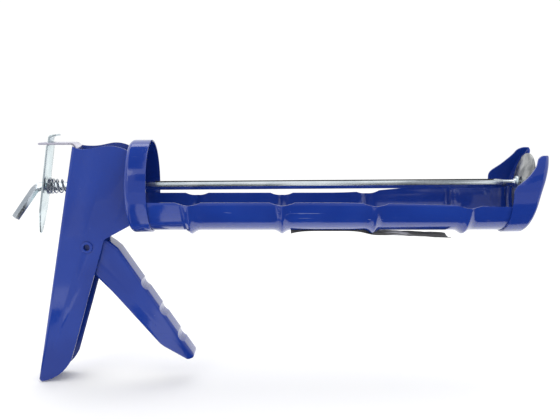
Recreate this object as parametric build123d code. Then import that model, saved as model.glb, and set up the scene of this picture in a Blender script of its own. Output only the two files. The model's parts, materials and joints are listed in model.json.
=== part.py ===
from build123d import *
import os
from math import acos, atan2, cos, degrees, hypot, radians, sin, tan

# Half-barrel caulking gun for one standard cartridge, in millimetres.
# The origin is the centre of the flat inside face of the rear cup, on the axis of the push rod.
# +X points along the barrel towards the nozzle, +Y to the far side, and +Z up.

# Barrel: rear cup, cradle and nose cap, all pressed from thin sheet.
SHEET = 1.0
BARREL_R = 26.0            # outside of the cradle, to hold a cartridge about 50 across
NEST_GAP = 0.1             # the cradle slips into the cup and the cap with this gap
CUP_DEPTH = 11.5           # from the inside face of the cup to its open rim
CRADLE_REAR = 3.0
CRADLE_FRONT = 226.0
CRADLE_EDGE_Z = -6.9
NOSE_TURN = 5.0            # the barrel is a little twisted: its front end is turned by this angle
NEAR_DRIFT = ((112, 0), (147, -0.6), (182, -1.45), (231, -2.8))  # the twist lowers the near edge
FAR_DRIFT = ((112, 0), (130, 0.3), (147, 1.4), (163, 2.8), (190, 4.3), (231, 5.0))
EDGE_DIP_R = 17.0          # each long edge dips in a round hollow of this radius at a rib
RIB_FIRST = 34.5
RIB_PITCH = 52.7
RIB_COUNT = 4
RIB_HEIGHT = 2.2
RIB_HALF_WIDTH = 5.5
NOSE_REAR = 216.0
NOSE_X = 231.1             # outside face of the nose plate, where its bend starts
PLATE_LEAN = 7.5           # the nose plate leans forwards below its bend, and its ears lean more
EAR_LEAN = 18.0
EAR_TOP_Z = 20.5
NOSE_CORNER_R = 3.0
SLOT_R = 10.0              # the nozzle rests in this round-bottomed slot
SLOT_TOP_HALF = 17.6

# Handle: a channel folded from one sheet, open in front, with its web at the back.
HANDLE_SHEET = 1.2
HANDLE_WIDTH = 19.2
HANDLE_TOP = (-33.2, 23.9)
HANDLE_HEEL = (-58.1, -115.0)
HANDLE_SEAT_X = -1.2       # the front of the cheeks, just behind the back of the cup
TAB_Z = 13.0               # two pairs of tabs pass through the cup at this height above and below
PIVOT = (-26.5, -35.0)
RIVET_R = 2.6
RIVET_PIT_R = 1.9
RIVET_PIT_DEPTH = 3.0

# Trigger: a channel with its web towards the fingers.
TRIGGER_SHEET = 1.2
TRIGGER_WIDTH = 15.2
NOSE_ARM = (-4.0, 26.0)    # from the pivot to the centre of the rounded arm end
NOSE_ARM_R = 2.5
GRIP_TOP = (-8.7, -36.2)
GRIP_TIP = (35.4, -102.3)
GROOVES_AT = (26.5, 45.5, 64.5)
GROOVE_R = 5.0
GROOVE_DEPTH = 1.3

# Push rod: hexagonal, with a bent tail behind and a piston in front.
ROD_FLATS = 4.7
ROD_TURN = 9.0             # the bar is spun this far, so that its top flat looks a little to the near side
ROD_HOLE_R = 3.3
ROD_RISE = 0.36            # the rod is loose in its holes and rises forwards by this angle
ROD_RISE_X = -25.0         # where the risen rod crosses the barrel's axis
ROD_FRONT = 217.0
TAIL_CORNER = -56.8
TAIL_END = (-70.2, -18.3)
TAIL_BEND_R = 6.5
NECK_R = 2.0
COLLAR_R = 2.7             # a swelling on the neck stops the piston's washer
WASHER_R = 4.2
PISTON_R = 18.0
PISTON_REAR = 226.8
PISTON_SHEET = 1.0
PISTON_DISH = 2.2
PISTON_LEAN = 8.0          # the disc is loose on the neck and leans against the nose plate

# Release catch: a plate that hangs in a slot of the bracket and grips the rod.
BRACKET_SHEET = 1.2
BRACKET_WIDTH = 13.8
BRACKET_Z = 24.4
BRACKET_TIP = -52.6
BRACKET_RIVETS_Z = (9.5, 17.0)
BRACKET_RIVET_R = 1.5
CATCH_SHEET = 1.1
CATCH_WIDTH = 14.0
CATCH_NECK = 9.4
CATCH_TOP = (-47.8, 25.0)  # where the plate turns in the bracket's slot
CATCH_LEAN = 8.5
CATCH_BOTTOM_Z = -28.6
CATCH_TAPER_Z = -9.0       # below this height the plate narrows to a rounded tongue

# Drive: two gripping plates pushed by the trigger and returned by the main spring.
PLATE_T = 2.0
PLATE_WIDTH = 12.0
PLATE_HALF_HEIGHT = 13.0
PLATE_REAR = -27.8
MAIN_SPRING_R = 4.7
MAIN_WIRE_R = 0.6
CATCH_SPRING_R = 4.8
CATCH_WIRE_R = 0.45
CATCH_SPRING_REAR = -49.6
CATCH_SPRING_FRONT = -40.3
SPRING_TURNS = 6
SEAT_T = 1.1               # the main spring's front seat
FIT = 0.05                 # the gap between parts that lie on each other

# Label under the cradle.
LABEL_REAR = 92.5
LABEL_FRONT = 186.0
LABEL_T = 0.25
LABEL_ARC = 32.0

FAR = 300.0                # longer than anything that is cut away


def side(*edges):
    """The face inside the given side-view edges, with X across and Z up."""
    return Plane.XZ * make_face(edges)


def across(face, width):
    """A side-view face thickened to a width centred on the middle plane."""
    return extrude(face, amount=width / 2, both=True)


def polygon(*points):
    """The edges of a closed side-view polygon."""
    return Polyline(*points, close=True)


def rod_cylinder(radius, rear, front):
    """A cylinder along the rod's axis between two X positions."""
    middle = (rear + front) / 2
    return Pos(middle, 0, 0) * Rot(0, 90, 0) * Cylinder(radius, front - rear)


def cross_cylinder(radius, x, z, width):
    """A cylinder that lies across the gun, centred on the middle plane."""
    return Pos(x, 0, z) * Rot(90, 0, 0) * Cylinder(radius, width)


def ring(outer, inner, rear, front):
    """A flat ring around the rod's axis."""
    return rod_cylinder(outer, rear, front) - rod_cylinder(inner, rear - 1, front + 1)


def coil(radius, wire_r, rear, front, turns):
    """A round-wire spring around the rod's axis."""
    path = Helix(pitch=(front - rear) / turns, height=front - rear, radius=radius)
    wire = Plane(origin=path @ 0, z_dir=path % 0) * Circle(wire_r)
    return Pos(rear, 0, 0) * Rot(0, 90, 0) * sweep(wire, path=path, is_frenet=True)


def risen(shape):
    """The rod and what it carries, turned by the small angle at which the rod lies in its holes."""
    return Pos(ROD_RISE_X, 0, 0) * Rot(0, -ROD_RISE, 0) * Pos(-ROD_RISE_X, 0, 0) * shape


def handle_lean():
    """How far the handle's back edge runs rearwards for each millimetre down."""
    return (HANDLE_TOP[0] - HANDLE_HEEL[0]) / (HANDLE_TOP[1] - HANDLE_HEEL[1])


def handle_back(z):
    """X of the outside of the handle's web at a height."""
    return HANDLE_TOP[0] + (z - HANDLE_TOP[1]) * handle_lean()


def web_depth():
    """Thickness of the leaning web, measured along X."""
    return HANDLE_SHEET * hypot(1, handle_lean())


def handle_tabs():
    """Side-view shapes of the two tabs that pass through the back of the cup."""
    length, height = 2.3, 8.0
    middle = HANDLE_SEAT_X - 0.3 + length / 2
    return [Pos(middle, 0, z) * Box(length, HANDLE_WIDTH, height) for z in (-TAB_Z, TAB_Z)]


def handle_outline():
    """Side view of the handle: straight back, cut heel, rounded toe, straight front and waved top."""
    lowest = (-56.0, -116.2)
    toe_middle = (-45.2, -111.6)
    knuckle = (-38.0, -102.5)
    throat = (-16.4, -30.5)
    brow = (HANDLE_SEAT_X, 21.9)
    chin = (HANDLE_SEAT_X, -22.3)
    back = Line(HANDLE_TOP, HANDLE_HEEL)
    heel = Line(HANDLE_HEEL, lowest)
    toe = ThreePointArc(lowest, toe_middle, knuckle)
    front = Polyline(knuckle, throat, (-9.8, -26.9), chin, brow)
    wave = Spline(brow, (-5.0, 23.9), (-12.0, 25.1), (-20.4, 23.6), (-27.5, 23.2), HANDLE_TOP)
    return side(back, heel, toe, front, wave)


def near_cheek_waste():
    """The near cheek's wave is cut a little lower than the far one's."""
    wave = Spline((2.0, 19.2), (-5.0, 22.9), (-12.0, 24.0), (-20.4, 22.8), (-27.5, 22.1), HANDLE_TOP)
    lid = Polyline(wave @ 1, (HANDLE_TOP[0], 40), (2.0, 40), wave @ 0)
    return Pos(0, -HANDLE_WIDTH / 2, 0) * across(side(wave, lid), 2 * HANDLE_SHEET + 0.2)


def handle_inside():
    """Side view of everything in front of the web, between the two cheeks."""
    high, low = 60.0, -160.0
    return side(
        polygon(
            (handle_back(high) + web_depth(), high),
            (handle_back(low) + web_depth(), low),
            (FAR, low),
            (FAR, high),
        )
    )


def handle_shell():
    inside_width = HANDLE_WIDTH - 2 * HANDLE_SHEET
    fold_r = 1.8
    shell = across(handle_outline(), HANDLE_WIDTH)
    for tab in handle_tabs():
        shell += tab
    shell -= across(handle_inside(), inside_width)
    folds = [e for e in shell.edges() if e.length > 130 and abs(e.center().Y) > HANDLE_WIDTH / 2 - 0.1]
    shell = fillet(folds, fold_r)
    shell -= near_cheek_waste()
    # The web stops just under the bend of the bracket.
    notch_z = HANDLE_TOP[1] - 1.6
    shell -= Pos(HANDLE_TOP[0], 0, notch_z + 5) * Box(8, inside_width, 10)
    shell -= cross_cylinder(RIVET_R, *PIVOT, HANDLE_WIDTH + 2)
    shell -= rod_cylinder(ROD_HOLE_R, -50, -20)
    for z in BRACKET_RIVETS_Z:
        shell -= web_cylinder(z, BRACKET_RIVET_R, -3, 6)
    return shell


def web_cylinder(z, radius, start, end):
    """A cylinder square to the web, between two depths measured forwards from its back face."""
    lean = atan2(handle_lean(), 1)
    seat = Plane(origin=(handle_back(z), 0, z), z_dir=(cos(lean), 0, -sin(lean)))
    return seat * Pos(0, 0, (start + end) / 2) * Cylinder(radius, end - start)


def bracket_rivets():
    """Two round-headed rivets through the web and the bracket's leg."""
    stack = HANDLE_SHEET + FIT + BRACKET_SHEET
    head_r, head_t = 2.6, 0.8
    rivets = []
    for z in BRACKET_RIVETS_Z:
        rivet = web_cylinder(z, BRACKET_RIVET_R - 0.02, -2 * FIT, stack + 2 * FIT)
        rivet += web_cylinder(z, head_r, -FIT - head_t, -FIT)
        rivet += web_cylinder(z, head_r, stack + FIT, stack + FIT + head_t)
        rivets.append(rivet)
    return Compound(children=rivets)


def rear_cup():
    corner_r = 3.0
    outer_r = BARREL_R + NEST_GAP + SHEET
    shell = rod_cylinder(outer_r, -SHEET, CUP_DEPTH)
    shell = fillet(shell.edges().sort_by(Axis.X)[0], corner_r)
    hollow = rod_cylinder(BARREL_R + NEST_GAP, 0, CUP_DEPTH + 10)
    hollow = fillet(hollow.edges().sort_by(Axis.X)[0], corner_r - SHEET)
    shell -= hollow
    shell -= rod_cylinder(ROD_HOLE_R, -5, 5)
    slot_y = (HANDLE_WIDTH - HANDLE_SHEET) / 2
    for z in (-TAB_Z, TAB_Z):
        for y in (-slot_y, slot_y):
            shell -= Pos(0, y, z) * Box(6, HANDLE_SHEET + 0.1, 8.1)
    return shell


def cradle_edge(radius):
    """One long line of the cradle's section, with a round swelling at each rib."""
    edges = []
    start = (CRADLE_REAR, -radius)
    for index in range(RIB_COUNT):
        middle = RIB_FIRST + index * RIB_PITCH
        foot = (middle - RIB_HALF_WIDTH, -radius)
        toe = (middle + RIB_HALF_WIDTH, -radius)
        crest = (middle, -radius - RIB_HEIGHT)
        edges.append(Line(start, foot))
        edges.append(Spline(foot, crest, toe, tangents=((1, 0), (1, 0))))
        start = toe
    edges.append(Line(start, (CRADLE_FRONT, -radius)))
    return edges


def edge_drift(stations, x):
    """How far an edge has drifted up or down at a place along it, between its stations."""
    for (rear, rear_drift), (front, front_drift) in zip(stations, stations[1:]):
        if x <= front:
            return rear_drift + (front_drift - rear_drift) * max(0, (x - rear) / (front - rear))


def edge_waste(side_y, stations):
    """What is cut away above one long edge, which dips at each rib and drifts with the twist."""
    level_rear, level_front = (CRADLE_REAR - 5, CRADLE_EDGE_Z), (stations[0][0], CRADLE_EDGE_Z)
    drift = Spline([(x, CRADLE_EDGE_Z + rise) for x, rise in stations], tangents=((1, 0), (1, 0)))
    over = Polyline(drift @ 1, (stations[-1][0], 60), (CRADLE_REAR - 5, 60), level_rear)
    waste = across(side(Line(level_rear, level_front), drift, over), 60)
    for index in range(RIB_COUNT):
        middle = RIB_FIRST + index * RIB_PITCH
        low = CRADLE_EDGE_Z + edge_drift(stations, middle) - RIB_HEIGHT * 0.7
        waste += cross_cylinder(EDGE_DIP_R, middle, low + EDGE_DIP_R, 60)
    return Pos(0, side_y * 30, 0) * waste


def cradle():
    inner_r = BARREL_R - SHEET
    rear_end = Line((CRADLE_REAR, -BARREL_R), (CRADLE_REAR, -inner_r))
    front_end = Line((CRADLE_FRONT, -BARREL_R), (CRADLE_FRONT, -inner_r))
    section = side(*cradle_edge(BARREL_R), *cradle_edge(inner_r), rear_end, front_end)
    highest_edge = CRADLE_EDGE_Z + 5.5
    spread = degrees(acos(-highest_edge / BARREL_R))
    section = Rot(spread, 0, 0) * section
    shell = revolve(section, axis=Axis((0, 0, 0), (-1, 0, 0)), revolution_arc=2 * spread)
    shell -= edge_waste(-1, NEAR_DRIFT)
    shell -= edge_waste(1, FAR_DRIFT)
    return shell


def nose_block(radius, front, corner):
    """The filled shape of the nose cap: a round bar whose leaning front face bends further forwards."""
    low_z, bend_low, bend_high, top_z = -40.0, -4.0, 4.0, 40.0
    low_lean, high_lean = tan(radians(PLATE_LEAN)), tan(radians(EAR_LEAN))
    start = (front, bend_low)
    end = (front + (bend_high - bend_low) * (low_lean + high_lean) / 2, bend_high)
    low = (front + (low_z - bend_low) * low_lean, low_z)
    top = (end[0] + (top_z - bend_high) * high_lean, top_z)
    bend = TangentArc(start, end, tangent=(start[0] - low[0], start[1] - low[1]))
    rest = Polyline(top, (NOSE_REAR - 20, top_z), (NOSE_REAR - 20, low_z), low)
    block = across(side(Line(low, start), bend, Line(end, top), rest), 80)
    block &= rod_cylinder(radius, NOSE_REAR - 10, NOSE_REAR + 40)
    rim = [e for e in block.edges() if e.center().X > NOSE_REAR + 5]
    return fillet(rim, corner)


def ear_waste():
    """What is cut away behind and above the ears: the rear edge climbs in a soft S to their tops."""
    ear_rear, climb_z = NOSE_REAR + 17.8, 1.4
    climb = Spline(
        (NOSE_REAR, climb_z),
        (NOSE_REAR + 2.2, 5.2),
        (NOSE_REAR + 6.4, 8.4),
        (NOSE_REAR + 10.0, 11.9),
        (NOSE_REAR + 13.4, 16.4),
        (ear_rear, EAR_TOP_Z),
        tangents=((0.1, 1), (1, 0.3)),
    )
    above = Polyline(
        (ear_rear, EAR_TOP_Z),
        (FAR, EAR_TOP_Z),
        (FAR, 60),
        (NOSE_REAR - 30, 60),
        (NOSE_REAR - 30, -60),
        (NOSE_REAR, -60),
        (NOSE_REAR, climb_z),
    )
    return across(side(climb, above), 80)


def nose_cap():
    outer_r = BARREL_R + NEST_GAP + SHEET
    cap = nose_block(outer_r, NOSE_X, NOSE_CORNER_R)
    cap -= nose_block(BARREL_R + NEST_GAP, NOSE_X - SHEET, NOSE_CORNER_R - SHEET)
    cap -= ear_waste()
    mouth = Plane.YZ * make_face(
        Polyline((-SLOT_R, 0), (SLOT_R, 0), (SLOT_TOP_HALF, 24), (-SLOT_TOP_HALF, 24), close=True)
    )
    mouth += Plane.YZ * Circle(SLOT_R)
    cap -= Pos(NOSE_X - 4, 0, 0) * extrude(mouth, amount=30)
    return Rot(NOSE_TURN, 0, 0) * cap


def catch_bracket():
    """A strip that lies on top of the handle's web, with its leg riveted down inside it."""
    half = BRACKET_SHEET / 2
    leg_low = 4.5
    knee_z = BRACKET_Z + half
    leg_depth = web_depth() + FIT + half * hypot(1, handle_lean())
    leg_x = handle_back(knee_z) + leg_depth
    foot_x = handle_back(leg_low) + leg_depth
    line = FilletPolyline((BRACKET_TIP, knee_z), (leg_x, knee_z), (foot_x, leg_low), radius=3.0)
    outline = side(*offset(line, amount=half, side=Side.BOTH).edges())
    strip = across(outline, BRACKET_WIDTH)
    slot_length, slot_play = 4.6, 0.8
    strip -= Pos(CATCH_TOP[0] - 0.1, 0, BRACKET_Z) * Box(slot_length, CATCH_NECK + slot_play, 6)
    for z in BRACKET_RIVETS_Z:
        strip -= web_cylinder(z, BRACKET_RIVET_R, -3, 6)
    return strip


def catch_plate():
    """The leaning plate, drawn upright on its turning line and then leaned."""
    shoulder = -1.0
    taper = CATCH_TAPER_Z - CATCH_TOP[1]
    bottom = CATCH_BOTTOM_Z - CATCH_TOP[1]
    half_width = CATCH_WIDTH / 2
    tongue = Spline(
        (half_width, taper),
        (0.72 * half_width, 0.45 * taper + 0.55 * bottom),
        (0, bottom),
        (-0.72 * half_width, 0.45 * taper + 0.55 * bottom),
        (-half_width, taper),
        tangents=((0, -1), (0, 1)),
    )
    upper = Polyline(tongue @ 1, (-half_width, shoulder), (half_width, shoulder), tongue @ 0)
    blade = extrude(Plane.YZ * make_face([tongue, upper]), amount=CATCH_SHEET / 2, both=True)
    hook = FilletPolyline((0, shoulder), (0, 4.4), (3.4, 5.4), radius=1.6)
    neck = across(side(*offset(hook, amount=CATCH_SHEET / 2, side=Side.BOTH).edges()), CATCH_NECK)
    rod_drop = CATCH_TOP[1] / cos(radians(CATCH_LEAN))
    plate = blade + neck
    plate -= rod_cylinder(ROD_HOLE_R, -10, 10).moved(Pos(0, 0, -rod_drop))
    return Pos(CATCH_TOP[0], 0, CATCH_TOP[1]) * Rot(0, CATCH_LEAN, 0) * plate


def pivot_rivet():
    """A rivet whose two heads lie on the outside of the handle's cheeks, with a pit in each end."""
    head_r, head_t = 3.4, 0.8
    shank = cross_cylinder(RIVET_R - 0.02, *PIVOT, HANDLE_WIDTH + 1.8 * head_t)
    head_y = (HANDLE_WIDTH + head_t) / 2
    for y in (-head_y, head_y):
        head = Pos(PIVOT[0], y, PIVOT[1]) * Rot(90, 0, 0) * Cylinder(head_r, head_t)
        shank += fillet(head.edges(), 0.35)
    for y in (-head_y, head_y):
        shank -= Pos(PIVOT[0], y, PIVOT[1]) * Rot(90, 0, 0) * Cylinder(RIVET_PIT_R, 2 * RIVET_PIT_DEPTH)
    return shank


def trigger_washers():
    """One washer on each side, in the middle of the gap between the trigger and the cheek."""
    middle = (TRIGGER_WIDTH + HANDLE_WIDTH - 2 * HANDLE_SHEET) / 4
    disc = Rot(90, 0, 0) * (Cylinder(4.5, 0.6) - Cylinder(RIVET_R + 0.1, 2))
    return Compound(children=[Pos(PIVOT[0], y, PIVOT[1]) * disc for y in (-middle, middle)])


def grip_point(along, inwards):
    """A side-view point measured along the grip's front line, and back from it."""
    dx = GRIP_TIP[0] - GRIP_TOP[0]
    dz = GRIP_TIP[1] - GRIP_TOP[1]
    length = hypot(dx, dz)
    ux, uz = dx / length, dz / length
    return (GRIP_TOP[0] + along * ux + inwards * uz, GRIP_TOP[1] + along * uz - inwards * ux)


def trigger_outline():
    arm = (PIVOT[0] + NOSE_ARM[0], PIVOT[1] + NOSE_ARM[1])
    length = hypot(GRIP_TIP[0] - GRIP_TOP[0], GRIP_TIP[1] - GRIP_TOP[1])
    points = [
        (arm[0] + NOSE_ARM_R, arm[1] + NOSE_ARM_R),
        (arm[0] - NOSE_ARM_R, arm[1] + NOSE_ARM_R),
        (arm[0] - NOSE_ARM_R, arm[1] - 6),
        (-34.5, -36.0),
        (-31.0, -44.0),
        grip_point(19.0, 18.3),
        grip_point(62.0, 13.0),
        grip_point(length - 1.0, 5.0),
        GRIP_TIP,
        GRIP_TOP,
        (-12.4, -33.2),
        (-17.0, -30.0),
        (arm[0] + NOSE_ARM_R, arm[1] - 5.5),
    ]
    radii = [2.3, 2.3, 3, 4, 6, 12, 14, 3, 2, 6, 2, 3, 3]
    face = make_face(Polyline(*points, close=True))
    for point, radius in zip(points, radii):
        corner = face.vertices().sort_by_distance((point[0], point[1], 0))[0]
        face = fillet(corner, radius)
    return Plane.XZ * face


def on_grip_line(point):
    """Whether a point lies on the straight front line of the grip."""
    run = Vector(GRIP_TIP[0] - GRIP_TOP[0], GRIP_TIP[1] - GRIP_TOP[1])
    reach = Vector(point.X - GRIP_TOP[0], point.Z - GRIP_TOP[1])
    off_line = abs(run.cross(reach).Z) / run.length
    along = run.dot(reach) / run.length
    return off_line < 0.2 and 0 < along < run.length


def trigger():
    body = across(trigger_outline(), TRIGGER_WIDTH)
    grip_edges = [e for e in body.edges() if on_grip_line(e.center()) and abs(e.center().Y) > 6]
    body = fillet(grip_edges, 2.0)
    for along in GROOVES_AT:
        x, z = grip_point(along, GROOVE_DEPTH - GROOVE_R)
        body -= cross_cylinder(GROOVE_R, x, z, TRIGGER_WIDTH + 2)
    body -= across(trigger_hollow(), TRIGGER_WIDTH - 2 * TRIGGER_SHEET)
    body -= cross_cylinder(RIVET_R + 0.05, *PIVOT, TRIGGER_WIDTH + 2)
    return body


def trigger_hollow():
    """Everything behind the finger web, which leaves the two cheeks and the upper arms."""
    length = hypot(GRIP_TIP[0] - GRIP_TOP[0], GRIP_TIP[1] - GRIP_TOP[1])
    wall = TRIGGER_SHEET + GROOVE_DEPTH
    return side(
        polygon(
            (-60.0, 20.0),
            (-60.0, -60.0),
            grip_point(30.0, 60.0),
            grip_point(length - 1.5, 60.0),
            grip_point(length - 1.5, wall),
            grip_point(2.0, wall),
            (-14.4, -33.6),
            (-20.0, -30.0),
            (-20.0, 20.0),
        )
    )


def drive_plate(rear):
    plate = Pos(rear + PLATE_T / 2, 0, 0) * Box(PLATE_T, PLATE_WIDTH, 2 * PLATE_HALF_HEIGHT)
    corners = plate.edges().filter_by(Axis.X)
    plate = fillet(corners, 2.0)
    return plate - rod_cylinder(ROD_HOLE_R - 0.1, rear - 1, rear + PLATE_T + 1)


def rod():
    """A hexagonal bar with a bent tail behind and a round neck at the piston."""
    path = FilletPolyline(
        (ROD_FRONT, 0, 0),
        (TAIL_CORNER, 0, 0),
        (TAIL_END[0], 0, TAIL_END[1]),
        radius=TAIL_BEND_R,
    )
    section = Plane(origin=path @ 0, x_dir=(0, 1, 0), z_dir=path % 0)
    hexagon = section * Rot(0, 0, -ROD_TURN) * RegularPolygon(ROD_FLATS / 2, 6, major_radius=False)
    bar = sweep(hexagon, path=path)
    piston_front = PISTON_REAR + PISTON_SHEET
    bar += rod_cylinder(NECK_R, ROD_FRONT - 1, piston_front + 1.7)
    bar += Pos(ROD_FRONT + 1, 0, 0) * Rot(0, 90, 0) * Cone(ROD_FLATS / 2, NECK_R, 2)
    collar = PISTON_REAR - 3.1
    return bar + rod_cylinder(COLLAR_R, collar, collar + 1.2)


def piston_washer():
    front = PISTON_REAR - 0.85
    return ring(WASHER_R, NECK_R + FIT, front - 1.0, front)


def piston_disc():
    """A dished disc with a flat middle, a cone and a flat rim. It is loose and leans forwards."""
    hole_r, flat_r, cone_r = NECK_R + 0.35, 7.0, 14.5
    rear = [(0, hole_r), (0, flat_r), (PISTON_DISH, cone_r), (PISTON_DISH, PISTON_R)]
    front = [(x + PISTON_SHEET, r) for x, r in reversed(rear)]
    disc = revolve(side(polygon(*rear, *front)), axis=Axis.X)
    middle = PISTON_SHEET / 2
    return Pos(PISTON_REAR + middle, 0, 0) * Rot(0, PISTON_LEAN, 0) * Pos(-middle, 0, 0) * disc


def piston_rivet():
    """The end of the neck is spread over this small washer, which keeps the disc on."""
    seat = PISTON_REAR + PISTON_SHEET + 0.6
    return ring(3.8, NECK_R + FIT, seat, seat + 1.1)


def label_line(extra):
    """The label's run along the cradle: loose ends, and a hump over the rib that it crosses."""
    rib = RIB_FIRST + 2 * RIB_PITCH
    gaps = [
        (LABEL_REAR, 1.9),
        (LABEL_REAR + 6, 0.8),
        (LABEL_REAR + 13, 0.45),
        (rib - 23, 0.45),
        (rib - 13, 0.5),
        (rib - 5, 1.4),
        (rib, RIB_HEIGHT + 0.4),
        (rib + 7, RIB_HEIGHT + 0.7),
        (rib + 25, RIB_HEIGHT + 1.3),
        (LABEL_FRONT, RIB_HEIGHT + 2.4),
    ]
    return Spline([(x, -BARREL_R - gap - extra) for x, gap in gaps])


def label():
    """A plain sticker that has come away from the cradle at both ends."""
    upper, lower = label_line(0), label_line(LABEL_T)
    profile = side(upper, lower, Line(upper @ 0, lower @ 0), Line(upper @ 1, lower @ 1))
    profile = Rot(LABEL_ARC / 2, 0, 0) * profile
    return revolve(profile, axis=Axis((0, 0, 0), (-1, 0, 0)), revolution_arc=LABEL_ARC)


def spring_seat():
    """The washer on the back of the cup that the main spring pushes against."""
    front = -SHEET - FIT
    return ring(6.4, ROD_HOLE_R, front - SEAT_T, front)


def main_spring():
    rear = PLATE_REAR + 2 * PLATE_T + FIT + MAIN_WIRE_R + 2 * FIT
    front = -SHEET - SEAT_T - MAIN_WIRE_R - 3 * FIT
    return coil(MAIN_SPRING_R, MAIN_WIRE_R, rear, front, SPRING_TURNS)


def catch_spring():
    return coil(CATCH_SPRING_R, CATCH_WIRE_R, CATCH_SPRING_REAR, CATCH_SPRING_FRONT, SPRING_TURNS)


NODES = {
    "handle_shell": handle_shell(),
    "rear_cup": rear_cup(),
    "cradle": cradle(),
    "nose_cap": nose_cap(),
    "catch_bracket": catch_bracket(),
    "bracket_rivets": bracket_rivets(),
    "pivot_rivet": pivot_rivet(),
    "label": label(),
    "spring_seat_washer": spring_seat(),
    "trigger": trigger(),
    "trigger_washers": trigger_washers(),
    "drive_plate_rear": drive_plate(PLATE_REAR),
    "drive_plate_front": drive_plate(PLATE_REAR + PLATE_T + FIT),
    "main_spring": main_spring(),
    "catch_plate": catch_plate(),
    "catch_spring": catch_spring(),
    "rod": risen(rod()),
    "piston_washer": risen(piston_washer()),
    "piston_disc": risen(piston_disc()),
    "piston_rivet": risen(piston_rivet()),
}

os.makedirs("parts", exist_ok=True)
for name, shape in NODES.items():
    shape.label = name
    export_step(shape, f"parts/{name}.step")
    box = shape.bounding_box()
    print(name, "volume", round(shape.volume), "from", box.min, "to", box.max)
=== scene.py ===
# %% [markdown]
# # A half-barrel caulking gun
# This lesson dresses a working model of a caulking gun. The model gives the size of every sheet,
# rod and spring and says how they move. Here each one gets its finish and its softened edges:
# gloss blue enamel on the pressed sheets, bright zinc on the rod, disc, catch and bracket, and
# spring wire. Everything is in metres, with +X towards the nozzle and +Z up.

# %% Load the working model
import json
from math import cos, pi, radians, sin

import bpy
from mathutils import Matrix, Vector

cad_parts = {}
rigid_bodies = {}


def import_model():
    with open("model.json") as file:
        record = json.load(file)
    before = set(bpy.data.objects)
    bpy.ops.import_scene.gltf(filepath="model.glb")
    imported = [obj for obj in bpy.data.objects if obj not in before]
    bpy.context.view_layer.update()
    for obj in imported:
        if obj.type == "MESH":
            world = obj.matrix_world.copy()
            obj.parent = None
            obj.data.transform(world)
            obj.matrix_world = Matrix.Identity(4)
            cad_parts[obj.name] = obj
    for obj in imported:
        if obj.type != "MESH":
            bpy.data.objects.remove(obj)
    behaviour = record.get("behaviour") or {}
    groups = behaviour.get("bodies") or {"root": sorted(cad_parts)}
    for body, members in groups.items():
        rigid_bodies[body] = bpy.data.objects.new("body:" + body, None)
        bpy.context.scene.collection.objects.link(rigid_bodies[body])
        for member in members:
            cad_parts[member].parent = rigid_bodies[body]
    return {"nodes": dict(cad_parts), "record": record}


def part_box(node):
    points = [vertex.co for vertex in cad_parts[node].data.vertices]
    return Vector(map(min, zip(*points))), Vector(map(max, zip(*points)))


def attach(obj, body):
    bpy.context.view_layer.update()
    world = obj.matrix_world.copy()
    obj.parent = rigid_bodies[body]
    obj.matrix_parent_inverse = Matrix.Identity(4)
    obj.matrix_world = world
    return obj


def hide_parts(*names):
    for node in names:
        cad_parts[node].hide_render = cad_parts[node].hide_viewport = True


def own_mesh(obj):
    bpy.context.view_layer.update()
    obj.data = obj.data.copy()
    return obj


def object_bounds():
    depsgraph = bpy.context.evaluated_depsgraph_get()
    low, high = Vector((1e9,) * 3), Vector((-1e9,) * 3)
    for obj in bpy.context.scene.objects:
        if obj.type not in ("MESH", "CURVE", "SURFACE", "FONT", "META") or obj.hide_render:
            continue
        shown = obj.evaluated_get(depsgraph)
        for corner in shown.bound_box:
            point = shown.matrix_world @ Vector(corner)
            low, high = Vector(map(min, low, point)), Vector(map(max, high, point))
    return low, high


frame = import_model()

cad_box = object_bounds()
nodes = frame["nodes"]
MM = 0.001

# %% [markdown]
# ## Camera
# The gun is seen square from its side, from a little above, at the distance of someone who holds
# it up to look at it. A lens close to 50 mm keeps the round cup and the ears of the nose in
# natural proportion. The camera is aimed at a point under the middle of the barrel.

# %% Place the camera
AIM = Vector((86.0, 0.0, -14.4)) * MM
CAMERA_DISTANCE = 440 * MM
CAMERA_PITCH = radians(8.0)
CAMERA_YAW = radians(0.3)
LENS = 47.8
sight = Vector((
    sin(CAMERA_YAW) * cos(CAMERA_PITCH),
    cos(CAMERA_YAW) * cos(CAMERA_PITCH),
    -sin(CAMERA_PITCH),
))
camera_data = bpy.data.cameras.new("camera")
camera_data.lens = LENS
camera_data.sensor_width = 36.0
camera_data.clip_start = 0.02
camera = bpy.data.objects.new("camera", camera_data)
bpy.context.scene.collection.objects.link(camera)
camera.location = AIM - sight * CAMERA_DISTANCE
camera.rotation_euler = sight.to_track_quat("-Z", "Y").to_euler()
bpy.context.scene.camera = camera
print("camera at", [round(v, 3) for v in camera.location])

# %% [markdown]
# ## Floor and sky
# A photographer would put the gun on a sweep of white paper in a white tent. The paper here is one
# wide flat plane in the same white as the sky around it, so the floor has no visible far edge.
# The plain Standard view keeps white paper white, where a film look would turn it grey.

# %% Lay the paper floor
PAPER_SIZE = 16
PAPER_GAP = 0.5 * MM


def paper_white():
    material = bpy.data.materials.new("paper_white")
    material.use_nodes = True
    shader = material.node_tree.nodes["Principled BSDF"]
    shader.inputs["Base Color"].default_value = (0.97, 0.97, 0.97, 1)
    shader.inputs["Roughness"].default_value = 1.0
    shader.inputs["Specular IOR Level"].default_value = 0.0
    return material


bpy.ops.object.select_all(action="DESELECT")
lowest = cad_box[0][2]
bpy.ops.mesh.primitive_plane_add(size=PAPER_SIZE, location=(0, 0, lowest - PAPER_GAP))
floor = bpy.context.object
floor.name = "paper_floor"
floor.data.materials.append(paper_white())
print("floor at", round(floor.location.z, 4))

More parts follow.
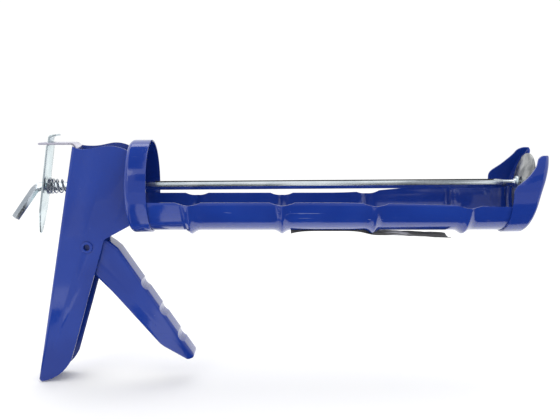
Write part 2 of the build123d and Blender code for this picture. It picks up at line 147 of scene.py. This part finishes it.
# %% Make the sky of the white tent
SKY = 1.06
world = bpy.data.worlds.new("tent")
world.use_nodes = True
world.node_tree.nodes["Background"].inputs["Color"].default_value = (1, 1, 1, 1)
world.node_tree.nodes["Background"].inputs["Strength"].default_value = SKY
bpy.context.scene.world = world
bpy.context.scene.view_settings.view_transform = "Standard"
print("sky strength", SKY)

# %% [markdown]
# ## Lamps and flags
# In an all-white tent a glossy thing looks milky, because it mirrors white everywhere. So a
# photographer hangs dark cards, called flags, where the gloss should be deep. These cards are seen
# only in reflections: they throw no shadow and the camera doesn't see them. Where they end, bright
# bands run along the metal. The floor cards are darkest under the barrel, with one pale card over
# them that the rear of the cradle mirrors. Five tall cards stand behind the camera, and one stands
# off beyond the tail. One card hangs over the cup and one over the ears of the nose. Four narrow
# ones stand just behind the rod and the bracket, for their top flats to mirror: a bar of bright
# metal looks like metal when light and black lines run side by side along it.

# %% Hang the flags
def card_material(name, shade):
    material = bpy.data.materials.new(name)
    material.use_nodes = True
    tree = material.node_tree
    tree.nodes.clear()
    glow = tree.nodes.new("ShaderNodeEmission")
    glow.inputs["Color"].default_value = (shade, shade, shade * 1.04, 1)
    output = tree.nodes.new("ShaderNodeOutputMaterial")
    tree.links.new(glow.outputs["Emission"], output.inputs["Surface"])
    return material


CARD_THICKNESS = 0.2 * MM
CARD_LIFT = 1.0 * MM
WALL_Y = -0.62
ROD_BACK_Y = 0.0045


def flag(name, low, high, shade, turn=0.0):
    """A card between two corners that shows only in reflections, turned about the vertical."""
    middle = (Vector(low) + Vector(high)) / 2
    size = Vector(high) - Vector(low)
    bpy.ops.object.select_all(action="DESELECT")
    bpy.ops.mesh.primitive_cube_add(size=1, location=middle)
    card = bpy.context.object
    card.name = name
    card.scale = [max(edge, CARD_THICKNESS) for edge in size]
    card.rotation_euler.z = radians(turn)
    card.data.materials.append(card_material(name + "_shade", shade))
    card.visible_camera = False
    card.visible_diffuse = False
    card.visible_shadow = False
    card.visible_transmission = False


card_z = lowest + CARD_LIFT
over_z = card_z + CARD_LIFT
flag("barrel_flag", (-0.034, -0.16, card_z), (0.40, 0.006, card_z), 0.02)
flag("gap_card", (-0.0105, -0.158, over_z), (0.0205, 0.006, over_z), 1.10, -4.3)
flag("cup_back_flag", (-0.036, 0.021, card_z), (-0.006, 0.130, card_z), 0.05)
flag("cup_far_flag", (-0.080, 0.130, card_z), (-0.030, 0.400, card_z), 0.05)
flag("gap_line_flag", (-0.006, 0.026, card_z), (0.018, 0.052, card_z), 0.10)
flag("handle_floor_flag", (-0.072, -0.16, card_z), (-0.034, 0.022, card_z), 0.55)
flag("tail_flag", (-0.105, -0.10, card_z), (-0.072, 0.010, card_z), 0.03)
flag("front_floor_flag", (-0.60, -0.60, card_z), (0.80, -0.16, card_z), 0.50)
flag("catch_side_flag", (-0.90, WALL_Y, card_z), (-0.215, WALL_Y, 0.20), 0.66)
flag("camera_flag", (-0.215, WALL_Y, card_z), (1.10, WALL_Y, 0.20), 0.38)
flag("cup_side_flag", (-0.30, WALL_Y, 0.20), (-0.085, WALL_Y, 0.38), 0.42)
flag("far_wall_flag", (-0.085, WALL_Y, 0.20), (0.235, WALL_Y, 0.42), 0.06)
flag("nose_wall_flag", (0.345, WALL_Y, 0.20), (0.70, WALL_Y, 0.42), 0.06)
flag("cup_flag", (-0.060, -0.130, 0.130), (0.013, 0.046, 0.130), 0.03)
flag("ear_flag", (0.242, -0.200, 0.130), (0.330, -0.020, 0.130), 0.40)
flag("tail_side_card", (-0.300, -0.340, -0.040), (-0.300, -0.080, 0.260), 0.55)
flag("rod_flag", (0.012, ROD_BACK_Y, 0.0025), (0.150, ROD_BACK_Y, 0.0300), 0.005)
flag("rod_line_flag", (0.150, ROD_BACK_Y, 0.0036), (0.205, ROD_BACK_Y, 0.0105), 0.005)
flag("rod_end_flag", (0.205, ROD_BACK_Y, 0.0036), (0.214, ROD_BACK_Y, 0.0220), 0.01)
flag("bracket_flag", (-0.060, 0.0110, 0.0258), (-0.031, 0.0110, 0.0400), 0.88)
hung = [o.name for o in bpy.data.objects if o.name.endswith(("_flag", "_card"))]
print("hung", len(hung), "cards:", hung)

# %% Hang the lamps
def soft_box(name, place, aim, size, power):
    """A square area light that hangs at a place and shines at a point."""
    data = bpy.data.lights.new(name, "AREA")
    data.size = size
    data.energy = power
    light = bpy.data.objects.new(name, data)
    bpy.context.scene.collection.objects.link(light)
    light.location = place
    light.rotation_euler = (Vector(aim) - Vector(place)).to_track_quat("-Z", "Y").to_euler()


soft_box("top_box", (0.1, 0.25, 0.8), (0.1, 0, 0), 0.7, 2.0)
soft_box("side_box", (-0.5, -0.8, 0.5), (0.05, 0, 0), 0.6, 1.5)

# %% [markdown]
# ## Small helpers for materials
# Every finish below is a Principled shader with some noise. The noise reads Object coordinates,
# which stay fixed to the metal when the gun moves. Small helpers keep the recipes short. They start
# a material, add a noise pattern, turn a pattern into a soft step between two values, join two
# patterns, blend two colours and make bumps.

# %% Write the helpers
def blank_material(name):
    material = bpy.data.materials.new(name)
    material.use_nodes = True
    tree = material.node_tree
    return material, tree, tree.nodes["Principled BSDF"]


def place_pattern(tree, stretch=(1, 1, 1)):
    """Object coordinates, stretched along the axes."""
    coordinates = tree.nodes.new("ShaderNodeTexCoord")
    mapping = tree.nodes.new("ShaderNodeMapping")
    mapping.inputs["Scale"].default_value = stretch
    tree.links.new(coordinates.outputs["Object"], mapping.inputs["Vector"])
    return mapping.outputs["Vector"]


def noise(tree, scale, detail=2.0, stretch=(1, 1, 1)):
    """Cloudy noise from 0 to 1, with scale in waves for each metre."""
    node = tree.nodes.new("ShaderNodeTexNoise")
    node.inputs["Scale"].default_value = scale
    node.inputs["Detail"].default_value = detail
    tree.links.new(place_pattern(tree, stretch), node.inputs["Vector"])
    return node.outputs["Fac"]


def step(tree, value, low, high, low_to, high_to):
    """A soft step: value runs from low to high, and the result from low_to to high_to."""
    node = tree.nodes.new("ShaderNodeMapRange")
    node.interpolation_type = "SMOOTHSTEP"
    node.inputs["From Min"].default_value = low
    node.inputs["From Max"].default_value = high
    node.inputs["To Min"].default_value = low_to
    node.inputs["To Max"].default_value = high_to
    tree.links.new(value, node.inputs["Value"])
    return node.outputs["Result"]


def combine(tree, kind, first, second):
    """First and second joined by a math operation. Second may be a plain number."""
    node = tree.nodes.new("ShaderNodeMath")
    node.operation = kind
    tree.links.new(first, node.inputs[0])
    if isinstance(second, (int, float)):
        node.inputs[1].default_value = second
    else:
        tree.links.new(second, node.inputs[1])
    return node.outputs["Value"]


def blend_color(tree, share, color, base):
    """Base with a share of another colour over it. Base is a colour or another blend's output."""
    node = tree.nodes.new("ShaderNodeMix")
    node.data_type = "RGBA"
    tree.links.new(share, node.inputs["Factor"])
    if isinstance(base, tuple):
        node.inputs["A"].default_value = (*base, 1)
    else:
        tree.links.new(base, node.inputs["A"])
    node.inputs["B"].default_value = (*color, 1)
    return node.outputs["Result"]


def add_bump(tree, shader, height, depth):
    """Bumps of a real depth in metres, put on the shader's normal."""
    bump = tree.nodes.new("ShaderNodeBump")
    bump.inputs["Strength"].default_value = 1.0
    bump.inputs["Distance"].default_value = depth
    tree.links.new(height, bump.inputs["Height"])
    tree.links.new(bump.outputs["Normal"], shader.inputs["Normal"])


print("helpers ready")

# %% [markdown]
# ## Blue enamel
# The sheets are dipped in thick blue enamel. It is a clear gloss over a strong colour. Seen close,
# the surface rolls slightly, like the skin of an orange, because the paint runs a little before it
# hardens. Dust sits in it as tiny nibs, and sliding cartridges leave fine pale scratches. A noise
# that is stretched along the barrel gives scratches that run the way the cartridge slides.

# %% Mix the blue enamel
ENAMEL = (0.0100, 0.0395, 0.275)
ENAMEL_DEEP = (0.0080, 0.032, 0.240)
SCUFF = (0.16, 0.21, 0.46)
PEEL_DEPTH = 0.000035


def enamel(name, scuffs):
    """Gloss enamel. The higher scuffs is, the more pale scratches it carries."""
    material, tree, shader = blank_material(name)
    depth = step(tree, noise(tree, 28), 0.35, 0.65, 0, 1)
    color = blend_color(tree, depth, ENAMEL_DEEP, ENAMEL)
    lines = noise(tree, 420, 3, (0.05, 1, 1))
    patches = step(tree, noise(tree, 45, 3), 0.56, 0.66, 0, 1)
    fine_lines = step(tree, lines, 0.70 - scuffs, 0.74 - scuffs, 0, 1)
    scratches = combine(tree, "MULTIPLY", fine_lines, patches)
    specks = step(tree, noise(tree, 900, 1), 0.80, 0.84, 0, 0.7)
    marks = combine(tree, "MAXIMUM", scratches, specks)
    color = blend_color(tree, combine(tree, "MULTIPLY", marks, 0.55), SCUFF, color)
    tree.links.new(color, shader.inputs["Base Color"])
    haze = step(tree, noise(tree, 60, 4), 0.3, 0.8, 0.10, 0.17)
    roughness = combine(tree, "ADD", haze, combine(tree, "MULTIPLY", marks, 0.3))
    tree.links.new(roughness, shader.inputs["Roughness"])
    shader.inputs["IOR"].default_value = 1.52
    shader.inputs["Coat Weight"].default_value = 0.25
    shader.inputs["Coat Roughness"].default_value = 0.05
    peel = noise(tree, 330, 1)
    nibs = step(tree, noise(tree, 700, 0), 0.74, 0.82, 0, 0.9)
    add_bump(tree, shader, combine(tree, "ADD", peel, nibs), PEEL_DEPTH)
    return material


barrel_enamel = enamel("barrel_enamel", 0.05)
handle_enamel = enamel("handle_enamel", -0.04)
print("mixed", barrel_enamel.name, "and", handle_enamel.name)

# %% [markdown]
# ## Zinc plate
# The rod, the disc, the bracket and the catch are steel with a thin coat of zinc. Fresh zinc is
# nearly white with a faint blue-green tint, and it shows how the steel under it was made: a drawn
# rod has fine lines along it, a blanked plate is smooth with soft clouds, and the disc, which was
# tumbled with many others, is blotchy. One recipe takes the tint, the gloss and the direction of
# the lines. The bracket's lilac tint is a painted reflection of the blue handle beside it.

# %% Plate the zinc
def zinc(
    name, color, cloud_color, roughness, line_stretch, line_scale, line_depth, cloud_scale=70
):
    """Bright plate with soft clouds in two tints, and fine lines along one direction."""
    material, tree, shader = blank_material(name)
    shader.inputs["Metallic"].default_value = 1.0
    clouds = step(tree, noise(tree, cloud_scale, 4), 0.38, 0.62, 0, 1)
    tree.links.new(blend_color(tree, clouds, cloud_color, color), shader.inputs["Base Color"])
    lines = noise(tree, line_scale, 2, line_stretch)
    wear = step(tree, lines, 0.3, 0.7, roughness * 0.75, roughness * 1.3)
    tree.links.new(wear, shader.inputs["Roughness"])
    add_bump(tree, shader, lines, line_depth)
    return material


ALONG_X = (0.02, 1, 1)
EVEN = (1, 1, 1)
rod_zinc = zinc(
    "rod_zinc", (0.70, 0.76, 0.80), (0.58, 0.65, 0.70), 0.19, ALONG_X, 2600, 0.000005
)
plate_zinc = zinc(
    "plate_zinc", (0.68, 0.77, 0.79), (0.60, 0.69, 0.71), 0.26, EVEN, 160, 0.000004
)
# The lilac in the bracket's colour is a painted reflection of the blue handle.
blue_reflection_bracket_zinc = zinc(
    "blue_reflection_bracket_zinc", (0.72, 0.71, 0.80), (0.62, 0.61, 0.71), 0.24, EVEN, 160, 0.000004
)
disc_zinc = zinc(
    "disc_zinc", (0.44, 0.45, 0.45), (0.20, 0.21, 0.22), 0.36, EVEN, 350, 0.00002, 130
)
wire_zinc = zinc(
    "wire_zinc", (0.46, 0.49, 0.52), (0.26, 0.28, 0.31), 0.16, EVEN, 400, 0.000003
)
print("plated", [m.name for m in bpy.data.materials if m.name.endswith("_zinc")])

# %% [markdown]
# ## Sticker
# The sticker under the barrel is dark printed foil. It is left without any words or marks. Where
# it hangs free it has creased, and the dark layer has cracked so that silver shows through in
# thin mottled streaks. Past the last fold, at its front end, it is nearly black again.

# %% Print the blank sticker
CREASE_SHARE = 0.50
CREASE_WIDTH = 0.02
FOLD_FROM_FRONT = 0.028
FOLD_WIDTH = 0.012
label_low, label_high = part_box("label")
label_span = label_high[0] - label_low[0]


def sticker_foil():
    material, tree, shader = blank_material("sticker_foil")
    place = tree.nodes.new("ShaderNodeSeparateXYZ")
    tree.links.new(place_pattern(tree), place.inputs["Vector"])
    crease_x = label_low[0] + CREASE_SHARE * label_span
    fold_x = label_high[0] - FOLD_FROM_FRONT
    towards_front = step(tree, place.outputs["X"], crease_x, crease_x + CREASE_WIDTH, 0, 1)
    before_fold = step(tree, place.outputs["X"], fold_x, fold_x + FOLD_WIDTH, 1, 0.18)
    cracks = step(tree, noise(tree, 260, 5, (0.35, 1, 1)), 0.48, 0.58, 0, 1)
    worn = combine(tree, "MULTIPLY", towards_front, before_fold)
    silver = combine(tree, "MULTIPLY", cracks, worn)
    color = blend_color(tree, silver, (0.30, 0.30, 0.36), (0.011, 0.010, 0.012))
    tree.links.new(color, shader.inputs["Base Color"])
    tree.links.new(step(tree, silver, 0, 1, 0.52, 0.30), shader.inputs["Roughness"])
    tree.links.new(step(tree, silver, 0, 1, 0.0, 0.8), shader.inputs["Metallic"])
    shader.inputs["Specular IOR Level"].default_value = 0.30
    add_bump(tree, shader, noise(tree, 190, 4, (0.4, 1, 1)), 0.0004)
    return material


sticker = sticker_foil()
print("printed", sticker.name)

# %% [markdown]
# ## Soften the edges
# The model's sheets have knife-sharp corners. Real sheet has a small radius on every blanked edge,
# thickened by the paint, and that radius is what catches a thin line of light. The safest way to
# get it is to copy the model's part, merge its loose triangles into one skin, join the triangles
# into larger faces, and give the hard edges a narrow bevel. The copy then stands in for the part.

# %% Write the copy-and-bevel helper
MERGE_GAP = 0.000002
FLAT_ANGLE = radians(0.6)
BEVEL_STEPS = 3
SMOOTH_ANGLE = radians(28)
bodies = frame["record"]["behaviour"]["bodies"]
body_of = {name: body for body, names in bodies.items() for name in names}


def select_only(piece):
    bpy.ops.object.select_all(action="DESELECT")
    piece.select_set(True)
    bpy.context.view_layer.objects.active = piece


def apply_modifiers(piece):
    select_only(piece)
    for modifier in list(piece.modifiers):
        bpy.ops.object.modifier_apply(modifier=modifier.name)


def merged_copy(node_name, piece_name):
    """A copy of a part of the model, with its loose triangles merged into one skin."""
    source = nodes[node_name]
    piece = bpy.data.objects.new(piece_name, source.data.copy())
    bpy.context.scene.collection.objects.link(piece)
    select_only(piece)
    bpy.ops.object.mode_set(mode="EDIT")
    bpy.ops.mesh.select_all(action="SELECT")
    bpy.ops.mesh.remove_doubles(threshold=MERGE_GAP)
    bpy.ops.mesh.customdata_custom_splitnormals_clear()
    bpy.ops.mesh.dissolve_limited(angle_limit=FLAT_ANGLE)
    bpy.ops.object.mode_set(mode="OBJECT")
    return piece


def softened(node_name, piece_name, material, radius, crease=32):
    """A copy of a part with a narrow rounded bevel on edges sharper than crease, in degrees."""
    piece = merged_copy(node_name, piece_name)
    bevel = piece.modifiers.new("soft_edge", "BEVEL")
    bevel.width = radius
    bevel.segments = BEVEL_STEPS
    bevel.limit_method = "ANGLE"
    bevel.angle_limit = radians(crease)
    bevel.use_clamp_overlap = True
    apply_modifiers(piece)
    bpy.ops.object.shade_smooth_by_angle(angle=SMOOTH_ANGLE)
    piece.data.materials.clear()
    piece.data.materials.append(material)
    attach(piece, body_of[node_name])
    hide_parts(node_name)
    print(piece_name, len(piece.data.polygons), "faces")


print("helper ready for", len(body_of), "parts")

# %% [markdown]
# ## Painted sheets
# Five sheets are painted: the folded handle, the cup, the cradle, the nose cap and the trigger. The
# paint rounds every edge to a fifth or a third of a millimetre. The rivet that the trigger turns on
# has a pit in each end, and it is painted over too.

# %% Soften the painted sheets
softened("handle_shell", "painted_handle", handle_enamel, 0.18 * MM)
softened("rear_cup", "painted_cup", barrel_enamel, 0.30 * MM)
softened("cradle", "painted_cradle", barrel_enamel, 0.30 * MM)
softened("nose_cap", "painted_nose", barrel_enamel, 0.30 * MM)
softened("trigger", "painted_trigger", handle_enamel, 0.30 * MM)
softened("pivot_rivet", "painted_rivet", handle_enamel, 0.10 * MM)

# %% [markdown]
# ## Plated parts
# The plated parts are blanked and bent strips, turned washers and a drawn bar. Their edges are
# crisper than the painted ones, because zinc is much thinner than enamel.

# %% Soften the plated parts
softened("catch_bracket", "plated_bracket", blue_reflection_bracket_zinc, 0.15 * MM)
softened("catch_plate", "plated_catch", plate_zinc, 0.20 * MM)
softened("rod", "plated_rod", rod_zinc, 0.22 * MM, 24)
softened("piston_disc", "plated_disc", disc_zinc, 0.25 * MM)
softened("bracket_rivets", "bracket_rivet_pair", blue_reflection_bracket_zinc, 0.30 * MM)
for plain in ("piston_washer", "piston_rivet", "spring_seat_washer", "trigger_washers"):
    softened(plain, "plated_" + plain, plate_zinc, 0.12 * MM)
for plain in ("drive_plate_rear", "drive_plate_front"):
    softened(plain, "plated_" + plain, plate_zinc, 0.25 * MM)

# %% [markdown]
# ## Springs
# A working spring is not even. The catch spring is pushed askew by the leaning plate: its turns
# lie close together and tilted at the plate, and open out and get narrower towards the handle. So
# its wire is drawn as a curve whose pitch, radius and tilt change along the way, and the curve is
# given a round section and made a mesh. The main spring inside the handle is even, with its end
# turns closed, and comes from the same helper.

# %% Wind the springs
def wound_spring(name, node_name, wire_r, turns, station, radius, shear, steps=20):
    """A spring along X. Station, radius and shear are functions of the share of the way, 0 to 1."""
    curve = bpy.data.curves.new(name, "CURVE")
    curve.dimensions = "3D"
    curve.bevel_depth = wire_r
    curve.bevel_resolution = 3
    curve.use_fill_caps = True
    spline = curve.splines.new("POLY")
    count = int(turns * steps) + 1
    spline.points.add(count - 1)
    for index, point in enumerate(spline.points):
        share = index / (count - 1)
        angle = 2 * pi * turns * share
        y = radius(share) * cos(angle)
        z = radius(share) * sin(angle)
        point.co = (station(share) + shear(share) * z, y, z, 1)
    draft = bpy.data.objects.new(name + "_draft", curve)
    bpy.context.scene.collection.objects.link(draft)
    bpy.context.view_layer.update()
    depsgraph = bpy.context.evaluated_depsgraph_get()
    mesh = bpy.data.meshes.new_from_object(draft.evaluated_get(depsgraph))
    bpy.data.objects.remove(draft)
    piece = bpy.data.objects.new(name, mesh)
    bpy.context.scene.collection.objects.link(piece)
    select_only(piece)
    bpy.ops.object.mode_set(mode="EDIT")
    bpy.ops.mesh.select_all(action="SELECT")
    bpy.ops.mesh.remove_doubles(threshold=MERGE_GAP)
    bpy.ops.mesh.normals_make_consistent(inside=False)
    bpy.ops.object.mode_set(mode="OBJECT")
    bpy.ops.object.shade_smooth_by_angle(angle=radians(60))
    piece.data.materials.append(wire_zinc)
    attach(piece, "gun_frame")
    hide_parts(node_name)
    print(name, len(piece.data.polygons), "faces")
    return piece


CATCH_WIRE_R = 0.42 * MM
CATCH_TURNS = 6.0
CATCH_PRESS = 2.2
CATCH_WIDE_R = 4.75
CATCH_NARROWING = 1.1
LEAN_AT_PLATE = 0.16
LEAN_AT_HANDLE = 0.22
catch_low, catch_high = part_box("catch_spring")
catch_start = catch_low[0] + CATCH_WIRE_R + 0.1 * MM
catch_run = catch_high[0] + 1.2 * MM - catch_start
catch_spring = wound_spring(
    "catch_spring_wire",
    "catch_spring",
    CATCH_WIRE_R,
    CATCH_TURNS,
    lambda share: catch_start + catch_run * share ** CATCH_PRESS,
    lambda share: (CATCH_WIDE_R - CATCH_NARROWING * share) * MM,
    lambda share: LEAN_AT_PLATE * (1 - share) - LEAN_AT_HANDLE * share,
)
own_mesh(catch_spring)

MAIN_WIRE_R = 0.6 * MM
MAIN_TURNS = 8.0
MAIN_R = 4.65 * MM
END_CLOSING = 0.4
main_low, main_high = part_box("main_spring")
main_start = main_low[0] + MAIN_WIRE_R
main_run = main_high[0] - MAIN_WIRE_R - main_start
main_spring = wound_spring(
    "main_spring_wire",
    "main_spring",
    MAIN_WIRE_R,
    MAIN_TURNS,
    lambda share: main_start + main_run * (share - END_CLOSING * sin(2 * pi * share) / (2 * pi)),
    lambda share: MAIN_R,
    lambda share: 0.0,
)
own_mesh(main_spring)

# %% [markdown]
# ## The hanging sticker
# The sticker is a thin strip that has let go at its front end. The model holds it as a smooth
# strip, so a copy of that is cut across into narrow bands, and two crossing waves push its loose
# half up and down into shallow wrinkles. Both of its faces move together, so it keeps its thickness.

# %% Wrinkle the sticker
BANDS = 16
WRINKLE = 0.00016
SHORT_WAVE_SHARE = 0.6
label = merged_copy("label", "hanging_sticker")
bpy.ops.object.mode_set(mode="EDIT")
for cut in range(BANDS):
    cut_x = label_low[0] + (cut + 0.5) / BANDS * label_span
    bpy.ops.mesh.select_all(action="SELECT")
    bpy.ops.mesh.bisect(plane_co=(cut_x, 0, 0), plane_no=(1, 0, 0))
bpy.ops.object.mode_set(mode="OBJECT")
for vertex in label.data.vertices:
    along = (vertex.co.x - label_low[0]) / label_span
    loose = max(0.0, along - 0.5) * 2
    long_wave = sin(vertex.co.x * 420 + vertex.co.y * 130)
    short_wave = sin(vertex.co.x * 910 - vertex.co.y * 300)
    vertex.co.z += WRINKLE * loose * (long_wave + SHORT_WAVE_SHARE * short_wave)
bpy.ops.object.shade_smooth_by_angle(angle=radians(35))
label.data.materials.clear()
label.data.materials.append(sticker)
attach(label, "gun_frame")
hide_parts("label")
print("sticker", len(label.data.polygons), "faces")
